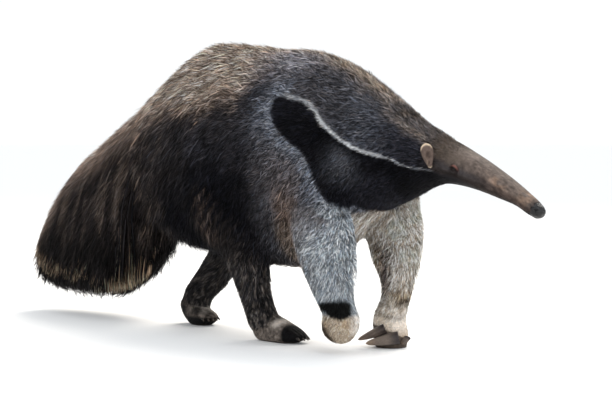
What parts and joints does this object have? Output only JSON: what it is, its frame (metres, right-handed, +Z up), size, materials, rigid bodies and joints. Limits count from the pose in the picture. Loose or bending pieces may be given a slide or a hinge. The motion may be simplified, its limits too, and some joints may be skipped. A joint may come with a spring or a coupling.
{
  "type": "giant anteater",
  "caption": "Life-size still giant anteater in a slow walk: long tube-like snout, humped back, folded-claw forefeet, flat hind feet and a tall hanging bushy tail.",
  "frame": {"origin": "on the floor, under the middle of the animal's overall box", "axes": "+X from tail to nose, +Y to the animal's left, +Z up"},
  "size_m": [1.6448, 0.342, 0.6811],
  "materials": {
    "coat_black": "long dark brown-black hair, matt",
    "coat_dark": "short charcoal hair, matt",
    "coat_grey": "coarse grizzled hair with a black wedge edged in white",
    "coat_brown": "very short brown-grey hair",
    "coat_snout": "very short brown-grey hair",
    "coat_pale": "pale grizzled hair",
    "coat_cream": "short cream hair with a black band at the wrist",
    "skin_foot": "dark hind feet with short hair",
    "skin_nose": "bare black skin, slightly moist",
    "ear": "short cream hair on the rim, dark inside",
    "eye": "dark and glossy",
    "horn": "brown-grey claw horn",
    "horn_dark": "dark claw horn"
  },
  "bodies": {
    "root": {"tail_end": "coat_black", "tail_middle": "coat_black", "tail_root": "coat_black", "thigh_R": "coat_black", "thigh_L": "coat_black", "shank_R": "coat_black", "shank_L": "coat_black", "neck": "coat_dark", "trunk": "coat_grey", "head": "coat_brown", "snout": "coat_snout", "upper_arm_R": "coat_pale", "upper_arm_L": "coat_pale", "forearm_R": "coat_pale", "forearm_L": "coat_pale", "hand_R": "coat_cream", "hand_L": "coat_cream", "hind_foot_R": "skin_foot", "hind_foot_L": "skin_foot", "nose": "skin_nose", "ear_R": "ear", "ear_L": "ear", "eye_R": "eye", "eye_L": "eye", "claw_hand_L_1": "horn", "claw_hand_L_2": "horn", "claw_hand_L_3": "horn", "claw_hand_R_1": "horn", "claw_hand_R_2": "horn", "claw_hand_R_3": "horn", "claw_foot_L_1": "horn_dark", "claw_foot_L_2": "horn_dark", "claw_foot_L_3": "horn_dark", "claw_foot_L_4": "horn_dark", "claw_foot_L_5": "horn_dark", "claw_foot_R_1": "horn_dark", "claw_foot_R_2": "horn_dark", "claw_foot_R_3": "horn_dark", "claw_foot_R_4": "horn_dark", "claw_foot_R_5": "horn_dark"}
  },
  "joints": []
}
